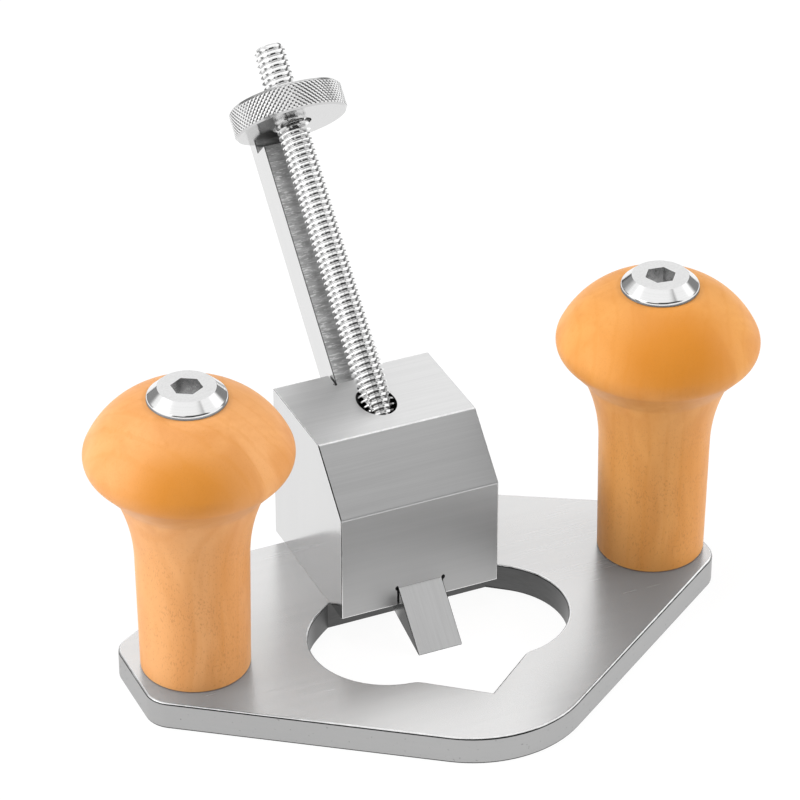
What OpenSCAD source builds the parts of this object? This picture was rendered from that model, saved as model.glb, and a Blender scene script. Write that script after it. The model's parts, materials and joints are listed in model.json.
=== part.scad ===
// Hand router plane with a slanted depth screw.
// Millimetres. +X is to the worker's right, +Y away from the worker, +Z up.
// The origin lies on the sole plane, under the middle of the blade block.

/* [Sole plate] */
// Thickness of the plate
plate_t = 7.1; // [5:0.1:10]
// Width of the plate from end to end
plate_w = 144; // [134:1:170]
// How far the rounded nose reaches in front of the block's middle
nose_reach = 76.4; // [72:0.2:86]
// Slope of the two front edges against the X axis, in degrees
front_slope = 35.3; // [33:0.1:37]
// Radius of the rounded nose
nose_r = 28; // [15:1:32]
// How far the straight rear edge lies behind the block's middle
rear_reach = 14.8; // [14:0.2:19]
// Width of the straight rear edge
rear_flat_w = 64; // [54:1:76]
// Slope of the two rear edges against the X axis, in degrees
rear_slope = 30; // [26:0.5:32]
// Radius of the two front corners
front_corner_r = 7; // [2:0.5:10]
// Radius of the two rear corners
rear_corner_r = 6; // [2:0.5:10]

/* [Opening in the plate] */
// Radius of the two round lobes
lobe_r = 18.3; // [15:0.1:19.5]
// Distance of a lobe's centre from the middle plane
lobe_x = 13.2; // [11:0.1:15]
// Distance of the lobes' centres in front of the block's middle
lobe_reach = 30.6; // [30:0.1:32.5]
// Distance of the straight rear wall in front of the block's middle
wall_reach = 12.6; // [12:0.1:13.2]
// Width of the straight rear wall
wall_w = 40.8; // [38:0.2:42]
// How far the pointed sight notch reaches in front of the block's middle
notch_reach = 60; // [57:0.5:62]
// Slope of the sight notch's sides against the X axis, in degrees
notch_slope = 38.7; // [36:0.1:41]
// Radius of the blend between a lobe and the notch
notch_blend_r = 5; // [2:0.5:8]

/* [Blade block] */
// Width of the block along X
block_w = 40; // [36:0.5:46]
// Depth of the block along Y
block_d = 40; // [38:0.5:43]
// Height of the block above the plate
block_h = 40.5; // [38:0.5:48]
// Height of the slanted face over the front edge
block_chamfer = 13.1; // [6:0.1:14]

/* [Blade] */
// Angle of the blade's bed against the sole, in degrees
bed_angle = 45; // [43:0.5:47]
// Width of the blade
blade_w = 11.2; // [9:0.1:13]
// Thickness of the blade
blade_t = 9.6; // [8.5:0.1:11]
// How far the blade's front face meets the sole plane in front of the block's middle
edge_reach = 31.75; // [31:0.05:33]
// Angle under the cutting edge, from the sole up to the blade's bevel, in degrees
relief_angle = 15; // [10:1:20]
// Height of the cutting edge over the sole at rest
edge_lift = 0.1; // [0.05:0.05:0.5]
// Play below the wheel in the blade's notch
notch_play = 1.6; // [0.4:0.1:3]
// Gap between the wheel's upper face and the notch
notch_top_gap = 0.1; // [0.05:0.05:0.2]
// Radial gap between the wheel's rim and the notch
notch_rim_gap = 0.5; // [0.3:0.1:1]
// Length of the blade above the notch
blade_lip = 2.6; // [1.5:0.1:6]
// Gap between the slot's side walls and the blade
slot_side_gap = 0.3; // [0.1:0.05:0.6]
// Gap between the slot's front or rear wall and the blade
slot_face_gap = 0.1; // [0.05:0.05:0.3]
// Radius of the relief drilled along each corner of the slot
slot_relief_r = 0.45; // [0.3:0.05:0.8]
// Gap between the blade and the slanted cut in the plate
plate_cut_gap = 0.4; // [0.2:0.1:1]

/* [Depth screw] */
// Outer diameter of the thread
rod_d = 7.94; // [6:0.01:9]
// Pitch of the thread
rod_pitch = 1.4111; // [1:0.0001:1.6]
// Depth of the thread
thread_depth = 0.87; // [0.5:0.01:1]
// Length of the rod above the block, along its axis
rod_out = 88.8; // [85:0.2:110]
// Length of the rod in its seat in the block, along its axis
rod_seat = 26.5; // [20:0.5:28]
// Bevel at the rod's ends
rod_bevel = 0.8; // [0.3:0.1:1.5]
// Distance from the rod's axis to the blade's front face
rod_to_blade = 7.62; // [7:0.02:8.5]
// Radial gap between the thread and its seat
seat_gap = 0.03; // [0.01:0.01:0.1]
// Radius that the seat's mouth adds to the rod's radius
mouth_extra_r = 0.55; // [0.3:0.05:1]
// Depth of the wider mouth below the block's top, along the axis
mouth_depth = 8; // [6:0.5:12]

/* [Depth wheel] */
// Diameter of the wheel over its knurling
wheel_d = 27.64; // [26:0.02:30]
// Thickness of the wheel
wheel_t = 6.7; // [5:0.1:9]
// Distance of the wheel's lower face above the block's top, along the axis
wheel_height = 69.2; // [66:0.2:72]
// Bevel of the wheel's rim
wheel_bevel = 0.6; // [0.2:0.1:1]
// Radial running gap between the wheel's bore and the thread
wheel_gap = 0.05; // [0.02:0.01:0.1]
// Depth of the countersink at each end of the wheel's bore
wheel_sink = 0.8; // [0.3:0.1:1.5]

/* [Handles] */
// Distance between the two handles' axes
handle_spacing = 116.8; // [112:0.2:124]
// How far the pair of handles sits to the right of the block's middle
handle_shift = 1.5; // [-2:0.1:2]
// Distance of the handles' axes in front of the block's middle
handle_reach = 20.9; // [18:0.1:22]
// Height of a handle
handle_h = 71; // [67:0.5:80]
// Radius at the foot
handle_foot_r = 12.7; // [11:0.1:12.9]
// Radius of the neck, where the flare starts
handle_neck_r = 13.1; // [12.9:0.1:14]
// Height of the neck above the plate
handle_neck_h = 29; // [24:0.5:32]
// Radius at the crease under the head
handle_crease_r = 17.4; // [16.6:0.1:18.2]
// Height of the crease above the plate
handle_crease_h = 48.2; // [45:0.1:50]
// Slope of the head's underside against the plate, in degrees
head_slope = 48; // [43:1:54]
// Radius of the arc over the head's top
head_dome_r = 22.8; // [21:0.2:24]
// Distance of that arc's centre from the handle's axis
head_dome_x = 2.6; // [1.8:0.1:3.6]
// Radius of the turned edge round the head
head_edge_r = 4.5; // [3:0.5:5.5]
// Radius of the flat on top, under the bolt's flange
handle_top_r = 9.8; // [9.5:0.1:11]

/* [Handle bolts] */
// Diameter of the bolt's shank
bolt_d = 7.94; // [6:0.01:9]
// Radius of the flange
flange_r = 9.1; // [8:0.1:9.4]
// Height of the flange's straight edge
flange_edge_h = 1; // [0.5:0.1:1.5]
// Height of the flange
flange_h = 3.3; // [2.5:0.1:4.5]
// Radius of the flange's flat top
flange_top_r = 6.6; // [5:0.1:7.5]
// Radius of the barrel under the flange
barrel_r = 5; // [4.7:0.1:6]
// Length of the barrel under the flange
barrel_h = 7; // [5:0.5:10]
// Hexagon socket of the bolt, across flats
socket_af = 6.35; // [4:0.05:6.5]
// Depth of the hexagon socket
socket_depth = 5; // [3:0.1:6]
// Turn of the right bolt's socket against the left one, in degrees
right_socket_turn = 22; // [0:1:60]
// Radial gap round a shank or barrel in the wood
wood_gap = 0.3; // [0.1:0.05:0.6]
// Radial gap round a screw in its threaded hole
screw_gap = 0.03; // [0.01:0.01:0.1]
// Distance of the bolt's end above the sole
bolt_end_lift = 0.5; // [0.2:0.1:2]

/* [Small screws] */
// Diameter of the four screws that hold the block
block_screw_d = 6.35; // [4:0.05:6.5]
// Radius of their countersunk heads
block_screw_head_r = 5.9; // [4.5:0.1:6.2]
// Full angle of the countersunk heads, in degrees
block_screw_cone = 82; // [80:1:90]
// Distance of the heads above the sole plane
block_screw_inset = 0.3; // [0.1:0.1:0.6]
// Length of a block screw above the plate
block_screw_hold = 12.5; // [8:0.5:13]
// Distance of the block screws from the middle plane
block_screw_x = 13; // [12.6:0.1:13.4]
// Place of the front pair along Y
block_screw_front_y = -5; // [-5.6:0.1:-4.8]
// Place of the rear pair along Y
block_screw_rear_y = 8; // [7.8:0.1:8.2]
// Hexagon socket of the block screws, across flats
block_socket_af = 4; // [2.5:0.1:4.5]
// Depth of that socket
block_socket_depth = 2.6; // [1.5:0.1:3]
// Diameter of the set screws in the block's right side
set_screw_d = 6.35; // [4:0.05:6.5]
// Hexagon socket of the set screws, across flats
set_socket_af = 3.18; // [2:0.02:3.3]
// Depth of that socket
set_socket_depth = 3.5; // [2:0.1:4.5]
// Distance of the set screws' ends below the block's right side
set_screw_inset = 1; // [1:0.1:2]
// Place of the clamp screw along the blade, from the level of the origin
clamp_along = 18; // [17.5:0.1:18.5]
// Place of the rod's set screw below the block's top, along the rod
rod_screw_down = 13; // [12:0.5:15]
// Thickness of the brass pad between clamp screw and blade
pad_t = 3; // [2:0.1:4]
// Gap between the pad and the blade, and between pad and screw
pad_gap = 0.05; // [0.02:0.01:0.1]
// Gap between a set screw's end and the rod
rod_screw_gap = 0.05; // [0.02:0.01:0.1]

/* [Hidden] */
$fn = 96;

// An amount by which cutting shapes run past the faces they cut
over = 1;
// A length longer than the whole part
long = 300;
rod_r = rod_d / 2;
block_top = plate_t + block_h;

// The bed's frame: x as in the part, y square to the blade towards its back,
// z along the rod. These turn a place in the part's YZ plane into that frame.
function across(y, z) = y * sin(bed_angle) - z * cos(bed_angle);
function along(y, z) = y * cos(bed_angle) + z * sin(bed_angle);
blade_front = across(-edge_reach, 0);
blade_back = blade_front + blade_t;
edge_y = -edge_reach + edge_lift / tan(bed_angle);
rod_across = blade_front - rod_to_blade;
rod_entry = (block_top + rod_across * cos(bed_angle)) / sin(bed_angle);
rod_bottom = rod_entry - rod_seat;
rod_top = rod_entry + rod_out;
wheel_low = rod_entry + wheel_height;
wheel_high = wheel_low + wheel_t;
notch_low = wheel_low - notch_play;
notch_high = wheel_high + notch_top_gap;
blade_top = notch_high + blade_lip;
blade_low = along(-edge_reach, 0) - over;
slot_half_w = blade_w / 2 + slot_side_gap;

// Corners of the plate before rounding, from the front going round by the right
nose_tip_y = -nose_reach - nose_r * (1 / cos(front_slope) - 1);
end_front_y = nose_tip_y + plate_w / 2 * tan(front_slope);
end_rear_y = rear_reach - (plate_w - rear_flat_w) / 2 * tan(rear_slope);
plate_corners = [
    [0, nose_tip_y, nose_r],
    [plate_w / 2, end_front_y, front_corner_r],
    [plate_w / 2, end_rear_y, rear_corner_r],
    [rear_flat_w / 2, rear_reach, 1],
    [-rear_flat_w / 2, rear_reach, 1],
    [-plate_w / 2, end_rear_y, rear_corner_r],
    [-plate_w / 2, end_front_y, front_corner_r]];

handle_left_x = handle_shift - handle_spacing / 2;
handle_right_x = handle_shift + handle_spacing / 2;
flange_z = plate_t + handle_h;
bolt_r = bolt_d / 2;
set_screw_r = set_screw_d / 2;
block_screw_r = block_screw_d / 2;
block_screw_top = plate_t + block_screw_hold;
clamp_across = (blade_front + blade_back) / 2;
pad_x = blade_w / 2 + pad_gap;
clamp_screw_x = pad_x + pad_t + pad_gap;
set_screw_end_x = block_w / 2 - set_screw_inset;
rod_screw_x = rod_r + rod_screw_gap;
rod_screw_along = rod_entry - rod_screw_down;

steel = [0.78, 0.78, 0.79];
dark_steel = [0.62, 0.62, 0.64];
wood = [0.90, 0.63, 0.34];
brass = [0.80, 0.66, 0.36];

// Turns shapes drawn in the bed's frame into the part's frame
module in_bed() {
    rotate([bed_angle - 90, 0, 0]) children();
}

// Unit vector from one 2D point to another
function toward(a, b) = (b - a) / norm(b - a);

// A rounded convex corner: [first tangent point, arc centre, last tangent point]
function rounded_corner(before, at, after, r) =
    let (u = toward(at, before), v = toward(at, after),
        half = acos(u * v) / 2,
        run = r / tan(half),
        centre = at + (u + v) / norm(u + v) * r / sin(half))
    [at + u * run, centre, at + v * run];

// A convex outline, given as [x, y, radius] corners
module rounded_outline(corners) {
    count = len(corners);
    spots = [for (c = corners) [c[0], c[1]]];
    rounds = [for (i = [0:count - 1])
        rounded_corner(spots[(i + count - 1) % count], spots[i],
            spots[(i + 1) % count], corners[i][2])];
    polygon([for (r = rounds) each [r[0], r[2]]]);
    for (i = [0:count - 1]) translate(rounds[i][1]) circle(r = corners[i][2]);
}

// Half of the opening in the plate, on the right of the middle plane.
// The wall's end runs tangent into the lobe, and a small arc inside the
// plate blends the lobe into the sight notch.
module opening_half() {
    lobe = [lobe_x, -lobe_reach];
    wall_end = [wall_w / 2, -wall_reach];
    off = wall_end - lobe;
    turn = atan2(off[1], off[0]) - acos(lobe_r / norm(off));
    wall_tangent = lobe + lobe_r * [cos(turn), sin(turn)];
    tip = [0, -notch_reach];
    side = [cos(notch_slope), sin(notch_slope)];
    inward = [sin(notch_slope), -cos(notch_slope)];
    // Centre of the blend: its own radius off the notch's side, and the two
    // radii away from the lobe's centre
    from_lobe = tip + notch_blend_r * inward - lobe;
    half_b = from_lobe * side;
    spread = lobe_r + notch_blend_r;
    run = -half_b - sqrt(half_b * half_b - from_lobe * from_lobe + spread * spread);
    blend = tip + notch_blend_r * inward + run * side;
    blend_low = blend - notch_blend_r * inward;
    blend_high = blend + notch_blend_r * toward(blend, lobe);
    translate(lobe) circle(r = lobe_r);
    polygon([[0, -wall_reach], wall_end, wall_tangent, lobe, [0, -lobe_reach]]);
    difference() {
        polygon([tip, blend_low, blend, blend_high, lobe, [0, -lobe_reach]]);
        translate(blend) circle(r = notch_blend_r);
    }
}

module opening() {
    intersection() {
        union() {
            opening_half();
            mirror([1, 0]) opening_half();
        }
        translate([-plate_w / 2, -nose_reach]) square([plate_w, nose_reach - wall_reach]);
    }
}

// The blade's path with a gap to each side and to front and back
module blade_path(side_gap, face_gap) {
    in_bed()
        translate([-blade_w / 2 - side_gap, blade_front - face_gap, -long / 2])
            cube([blade_w + 2 * side_gap, blade_t + 2 * face_gap, long]);
}

// Head and shank of a countersunk screw that points up, standing on z = 0
module countersunk(head_r, shank_r, top) {
    cone_h = (head_r - shank_r) / tan(block_screw_cone / 2);
    cylinder(r1 = head_r, r2 = shank_r, h = cone_h);
    cylinder(r = shank_r, h = top);
}

// Holes for the block screws, through the plate and into the block
module block_screw_holes() {
    for (x = [-block_screw_x, block_screw_x], y = [block_screw_front_y, block_screw_rear_y])
        translate([x, y, 0]) {
            translate([0, 0, block_screw_inset])
                countersunk(block_screw_head_r + screw_gap, block_screw_r + screw_gap,
                    block_screw_top - block_screw_inset + over);
            translate([0, 0, -over])
                cylinder(r = block_screw_head_r + screw_gap, h = over + block_screw_inset);
        }
}

module sole_plate() {
    color(steel)
        difference() {
            linear_extrude(plate_t)
                difference() {
                    rounded_outline(plate_corners);
                    opening();
                }
            blade_path(slot_side_gap + plate_cut_gap, plate_cut_gap);
            block_screw_holes();
            for (x = [handle_left_x, handle_right_x])
                translate([x, -handle_reach, -over])
                    cylinder(r = bolt_r + screw_gap, h = plate_t + 2 * over);
        }
}

module blade_block() {
    front = -block_d / 2;
    rear = block_d / 2;
    color(dark_steel)
        difference() {
            translate([-block_w / 2, 0, 0])
                rotate([90, 0, 90])
                    linear_extrude(block_w)
                        polygon([
                            [front, plate_t],
                            [rear, plate_t],
                            [rear, block_top],
                            [front + block_chamfer / tan(bed_angle), block_top],
                            [front, block_top - block_chamfer]]);
            blade_path(slot_side_gap, slot_face_gap);
            in_bed() {
                for (x = [-slot_half_w, slot_half_w], y = [blade_front - slot_face_gap, blade_back + slot_face_gap])
                    translate([x, y, -long / 2]) cylinder(r = slot_relief_r, h = long);
                translate([0, rod_across, rod_bottom]) cylinder(r = rod_r + seat_gap, h = long);
                translate([0, rod_across, rod_entry - mouth_depth])
                    cylinder(r = rod_r + mouth_extra_r, h = long);
                translate([0, clamp_across, clamp_along])
                    rotate([0, 90, 0]) cylinder(r = set_screw_r + screw_gap, h = block_w);
                translate([0, rod_across, rod_screw_along])
                    rotate([0, 90, 0]) cylinder(r = set_screw_r + screw_gap, h = block_w);
            }
            block_screw_holes();
        }
}

// Surface of a threaded rod that stands on z = 0. Each column of points has
// crests and roots by turns, and the columns climb one pitch in a full turn.
module thread_body(r, depth, pitch, length) {
    sides = 12;
    rows = 2 * ceil(length / pitch) + 8;
    start = -2 * pitch;
    ring = [for (k = [0:rows - 1], j = [0:sides - 1])
        let (at = k % 2 == 0 ? r : r - depth, turn = 360 * j / sides)
        [at * cos(turn), at * sin(turn), start + pitch * (k / 2 + j / sides)]];
    low = len(ring);
    high = low + 1;
    points = concat(ring, [[0, 0, start - pitch], [0, 0, start + pitch * (rows / 2 + 2)]]);
    // The point in column j of row k; column "sides" is column 0 two rows up
    function spot(k, j) = j < sides ? k * sides + j : (k + 2) * sides;
    walls = [for (k = [0:rows - 2], j = [0:sides - 1])
        if (j < sides - 1 || k < rows - 3)
            each [[spot(k, j), spot(k + 1, j), spot(k + 1, j + 1)],
                [spot(k, j), spot(k + 1, j + 1), spot(k, j + 1)]]];
    foot = concat([for (j = [0:sides - 1]) spot(0, j)], [spot(2, 0), spot(1, 0)]);
    crown = concat([for (j = [0:sides - 1]) spot(rows - 1, j)],
        [spot(rows - 2, sides - 1), spot(rows - 3, sides - 1)]);
    caps = concat(
        [for (i = [0:len(foot) - 1]) [low, foot[i], foot[(i + 1) % len(foot)]]],
        [for (i = [0:len(crown) - 1]) [high, crown[(i + 1) % len(crown)], crown[i]]]);
    polyhedron(points = points, faces = concat(walls, caps));
}

module depth_screw_rod() {
    length = rod_seat + rod_out;
    color(steel)
        in_bed()
            translate([0, rod_across, rod_bottom])
                intersection() {
                    thread_body(rod_r, thread_depth, rod_pitch, length);
                    union() {
                        translate([0, 0, rod_bevel]) cylinder(r = rod_r, h = length - 2 * rod_bevel);
                        cylinder(r1 = rod_r - rod_bevel, r2 = rod_r, h = rod_bevel);
                        translate([0, 0, length - rod_bevel])
                            cylinder(r1 = rod_r, r2 = rod_r - rod_bevel, h = rod_bevel);
                    }
                }
}

module depth_wheel() {
    r = wheel_d / 2;
    bore_r = rod_r + wheel_gap;
    color(steel)
        in_bed()
            translate([0, rod_across, wheel_low])
                rotate_extrude()
                    polygon([
                        [bore_r + wheel_sink, 0],
                        [r - wheel_bevel, 0],
                        [r, wheel_bevel],
                        [r, wheel_t - wheel_bevel],
                        [r - wheel_bevel, wheel_t],
                        [bore_r + wheel_sink, wheel_t],
                        [bore_r, wheel_t - wheel_sink],
                        [bore_r, wheel_sink]]);
}

// The bar, cut by its bevel, with a round-bottomed notch for the wheel's rim
module blade() {
    color(dark_steel)
        difference() {
            in_bed()
                translate([-blade_w / 2, blade_front, blade_low])
                    cube([blade_w, blade_t, blade_top - blade_low]);
            in_bed()
                translate([0, rod_across, notch_low])
                    cylinder(r = wheel_d / 2 + notch_rim_gap, h = notch_high - notch_low);
            translate([0, edge_y, edge_lift])
                rotate([relief_angle, 0, 0])
                    translate([-blade_w, -long / 2, -long / 2])
                        cube([2 * blade_w, long, long / 2]);
        }
}

// Outline of half a handle, standing on y = 0
module handle_outline() {
    crease = [handle_crease_r, handle_crease_h];
    // The flare is an arc that leaves the neck straight up and ends at the crease
    flare_rise = handle_crease_h - handle_neck_h;
    flare_run = handle_crease_r - handle_neck_r;
    flare_r = (flare_rise * flare_rise + flare_run * flare_run) / (2 * flare_run);
    // The dome's arc passes the edge of the flat on top
    dome_drop = sqrt(pow(head_dome_r, 2) - pow(handle_top_r - head_dome_x, 2));
    dome = [head_dome_x, handle_h - dome_drop];
    under = [cos(head_slope), sin(head_slope)];
    inside = [-sin(head_slope), cos(head_slope)];
    from_dome = crease + head_edge_r * inside - dome;
    half_b = from_dome * under;
    spread = head_dome_r - head_edge_r;
    run = -half_b + sqrt(half_b * half_b - from_dome * from_dome + spread * spread);
    edge = crease + head_edge_r * inside + run * under;
    edge_low = edge - head_edge_r * inside;
    edge_high = edge + (long / 4) * toward(dome, edge);
    polygon([[0, 0], [handle_foot_r, 0], [handle_neck_r, handle_neck_h], [0, handle_neck_h]]);
    difference() {
        translate([0, handle_neck_h]) square([handle_crease_r, flare_rise]);
        translate([handle_neck_r + flare_r, handle_neck_h]) circle(r = flare_r);
    }
    translate(edge) circle(r = head_edge_r);
    intersection() {
        translate(dome) circle(r = head_dome_r);
        polygon([[0, handle_crease_h], crease, edge_low, edge, edge_high, [0, edge_high[1]]]);
        square([long, handle_h]);
    }
}

module handle(x) {
    color(wood)
        translate([x, -handle_reach, plate_t])
            difference() {
                rotate_extrude() handle_outline();
                translate([0, 0, -over]) cylinder(r = bolt_r + wood_gap, h = handle_h + 2 * over);
                translate([0, 0, handle_h - barrel_h - wood_gap])
                    cylinder(r = barrel_r + wood_gap, h = long);
            }
}

module left_handle() {
    handle(handle_left_x);
}

module right_handle() {
    handle(handle_right_x);
}

// A hexagonal hole, its corners on the X axis, below z = 0
module hex_socket(flats, depth) {
    translate([0, 0, -depth]) cylinder(d = flats / cos(30), h = depth + over, $fn = 6);
}

// A flanged bolt through a handle, screwed into the plate
module handle_bolt(x, turn) {
    color(steel)
        translate([x, -handle_reach, flange_z])
            difference() {
                union() {
                    rotate_extrude()
                        polygon([
                            [0, 0],
                            [flange_r, 0],
                            [flange_r, flange_edge_h],
                            [flange_top_r, flange_h],
                            [0, flange_h]]);
                    translate([0, 0, -barrel_h]) cylinder(r = barrel_r, h = barrel_h);
                    translate([0, 0, bolt_end_lift - flange_z])
                        cylinder(r = bolt_r, h = flange_z - bolt_end_lift);
                }
                translate([0, 0, flange_h]) rotate(turn) hex_socket(socket_af, socket_depth);
            }
}

module left_handle_bolt() {
    handle_bolt(handle_left_x, 0);
}

module right_handle_bolt() {
    handle_bolt(handle_right_x, right_socket_turn);
}

module block_screw(x, y) {
    color(steel)
        translate([x, y, block_screw_inset])
            difference() {
                countersunk(block_screw_head_r, block_screw_r, block_screw_top - block_screw_inset);
                mirror([0, 0, 1]) hex_socket(block_socket_af, block_socket_depth);
            }
}

module block_screw_front_left() {
    block_screw(-block_screw_x, block_screw_front_y);
}

module block_screw_front_right() {
    block_screw(block_screw_x, block_screw_front_y);
}

module block_screw_rear_left() {
    block_screw(-block_screw_x, block_screw_rear_y);
}

module block_screw_rear_right() {
    block_screw(block_screw_x, block_screw_rear_y);
}

// A plain end, a straight shank and a socket at the outer end, along +X
module set_screw(from_x) {
    rotate([0, 90, 0])
        difference() {
            translate([0, 0, from_x]) cylinder(r = set_screw_r, h = set_screw_end_x - from_x);
            translate([0, 0, set_screw_end_x]) hex_socket(set_socket_af, set_socket_depth);
        }
}

module clamp_screw() {
    color(dark_steel)
        in_bed() translate([0, clamp_across, clamp_along]) set_screw(clamp_screw_x);
}

module clamp_pad() {
    color(brass)
        in_bed()
            translate([pad_x, clamp_across, clamp_along])
                rotate([0, 90, 0]) cylinder(r = set_screw_r, h = pad_t);
}

module rod_set_screw() {
    color(dark_steel)
        in_bed() translate([0, rod_across, rod_screw_along]) set_screw(rod_screw_x);
}

sole_plate();
blade_block();
depth_screw_rod();
depth_wheel();
blade();
left_handle();
right_handle();
left_handle_bolt();
right_handle_bolt();
block_screw_front_left();
block_screw_front_right();
block_screw_rear_left();
block_screw_rear_right();
clamp_pad();
clamp_screw();
rod_set_screw();
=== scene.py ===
import json
import math
import bpy
import bmesh
from mathutils import Matrix, Vector

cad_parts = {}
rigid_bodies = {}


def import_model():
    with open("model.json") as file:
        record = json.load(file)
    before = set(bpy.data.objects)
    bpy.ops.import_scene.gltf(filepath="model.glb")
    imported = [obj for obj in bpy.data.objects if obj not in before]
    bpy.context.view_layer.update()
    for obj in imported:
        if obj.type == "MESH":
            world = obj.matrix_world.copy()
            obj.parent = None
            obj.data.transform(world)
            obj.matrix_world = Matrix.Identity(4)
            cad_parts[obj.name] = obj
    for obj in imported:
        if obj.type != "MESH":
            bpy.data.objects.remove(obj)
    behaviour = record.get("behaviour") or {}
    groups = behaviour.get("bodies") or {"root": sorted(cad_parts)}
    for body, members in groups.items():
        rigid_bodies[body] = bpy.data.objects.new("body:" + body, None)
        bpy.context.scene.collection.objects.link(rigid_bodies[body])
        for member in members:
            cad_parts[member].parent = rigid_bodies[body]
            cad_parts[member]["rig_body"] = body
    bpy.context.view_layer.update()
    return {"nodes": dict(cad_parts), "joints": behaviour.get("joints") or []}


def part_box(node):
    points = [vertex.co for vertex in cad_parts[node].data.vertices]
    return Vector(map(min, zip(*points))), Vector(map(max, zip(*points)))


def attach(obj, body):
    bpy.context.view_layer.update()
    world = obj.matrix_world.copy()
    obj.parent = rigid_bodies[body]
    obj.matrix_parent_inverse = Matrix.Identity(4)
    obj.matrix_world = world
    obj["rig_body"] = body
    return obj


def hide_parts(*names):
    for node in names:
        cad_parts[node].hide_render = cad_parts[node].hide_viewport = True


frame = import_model()
scene = bpy.context.scene
mm = 0.001
up = Vector((0, 0, 1))
print("frame loaded:", len(frame["nodes"]), "nodes")


# A socket that can be added, multiplied and so on
class Wire:
    def __init__(self, graph, socket):
        self.graph = graph
        self.socket = socket

    def maths(self, operation, *values):
        return self.graph.node("ShaderNodeMath", {"operation": operation}, dict(enumerate(values)))

    def __add__(self, other):
        return self.maths("ADD", self, other)

    def __radd__(self, other):
        return self.maths("ADD", other, self)

    def __sub__(self, other):
        return self.maths("SUBTRACT", self, other)

    def __rsub__(self, other):
        return self.maths("SUBTRACT", other, self)

    def __mul__(self, other):
        return self.maths("MULTIPLY", self, other)

    def __rmul__(self, other):
        return self.maths("MULTIPLY", other, self)

    def __pow__(self, other):
        return self.maths("POWER", self, other)


# The node tree of a material or of the world
class Graph:
    def __init__(self, owner):
        owner.use_nodes = True
        self.owner = owner
        self.tree = owner.node_tree
        self.tree.nodes.clear()

    def node(self, kind, settings=None, sockets=None, output=0):
        made = self.tree.nodes.new(kind)
        for name, value in (settings or {}).items():
            setattr(made, name, value)
        for name, value in (sockets or {}).items():
            if isinstance(value, Wire):
                self.tree.links.new(value.socket, made.inputs[name])
            else:
                made.inputs[name].default_value = value
        return Wire(self, made.outputs[output]) if made.outputs else None

    def place(self, centre=(0, 0, 0), turn=(0, 0, 0), grain=(1, 1, 1)):
        # Places counted from the centre, along turned axes, in lengths of the grain
        spot = self.node("ShaderNodeTexCoord", output="Object")
        sizes = {"Vector": spot, "Location": centre, "Rotation": turn, "Scale": grain}
        return self.node("ShaderNodeMapping", {"vector_type": "TEXTURE"}, sizes)

    def axes(self, vector):
        split = self.node("ShaderNodeSeparateXYZ", None, {0: vector}).socket.node
        return [Wire(self, socket) for socket in split.outputs]

    def noise(self, vector, scale=1.0, detail=2.0, roughness=0.5, distortion=0.0):
        sizes = {"Vector": vector, "Scale": scale, "Detail": detail, "Roughness": roughness}
        return self.node("ShaderNodeTexNoise", None, sizes | {"Distortion": distortion})

    def within(self, value, low, high):
        sizes = {"Value": value, "From Min": low, "From Max": high}
        return self.node("ShaderNodeMapRange", {"interpolation_type": "SMOOTHSTEP"}, sizes)

    def mixed(self, factor, first, second):
        parts = {0: factor, 6: (*first, 1) if isinstance(first, tuple) else first}
        parts[7] = (*second, 1) if isinstance(second, tuple) else second
        return self.node("ShaderNodeMix", {"data_type": "RGBA"}, parts, 2)

    def bump(self, height, distance):
        return self.node("ShaderNodeBump", None, {"Height": height, "Distance": distance})

    def surface(self, sockets):
        shader = self.node("ShaderNodeBsdfPrincipled", None, sockets)
        self.node("ShaderNodeOutputMaterial", None, {"Surface": shader})
        return self.owner


def grey(level):
    return (level, level, level)


def grains(lengths, times=1):
    # Lengths in mm along each axis, in metres
    return [length * times * mm for length in lengths]


# Camera, at the photograph's viewing angle
view = {
    "azimuth": -24.11,
    "elevation": 32.51,
    "lens": 185.53,  # in mm, like the sensor
    "sensor": 36,
    "clipStart": 0.05,
    "distance": 0.985,
    "right": 0.00345,  # where the lens axis passes the origin
    "above": 0.04285,
}


def makeCamera():
    turn = math.radians(view["azimuth"])
    rise = math.radians(view["elevation"])
    back = Vector((math.sin(turn) * math.cos(rise), -math.cos(turn) * math.cos(rise), math.sin(rise)))
    right = Vector((math.cos(turn), math.sin(turn), 0))
    upright = back.cross(right)
    lens = bpy.data.cameras.new("camera")
    lens.lens = view["lens"]
    lens.sensor_width = view["sensor"]
    lens.clip_start = view["clipStart"]
    camera = bpy.data.objects.new("camera", lens)
    spot = right * view["right"] + upright * view["above"] + back * view["distance"]
    camera.matrix_world = Matrix.Translation(spot) @ Matrix((right, upright, back)).transposed().to_4x4()
    scene.collection.objects.link(camera)
    scene.camera = camera
    scene.view_settings.view_transform = "Standard"


makeCamera()


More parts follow.
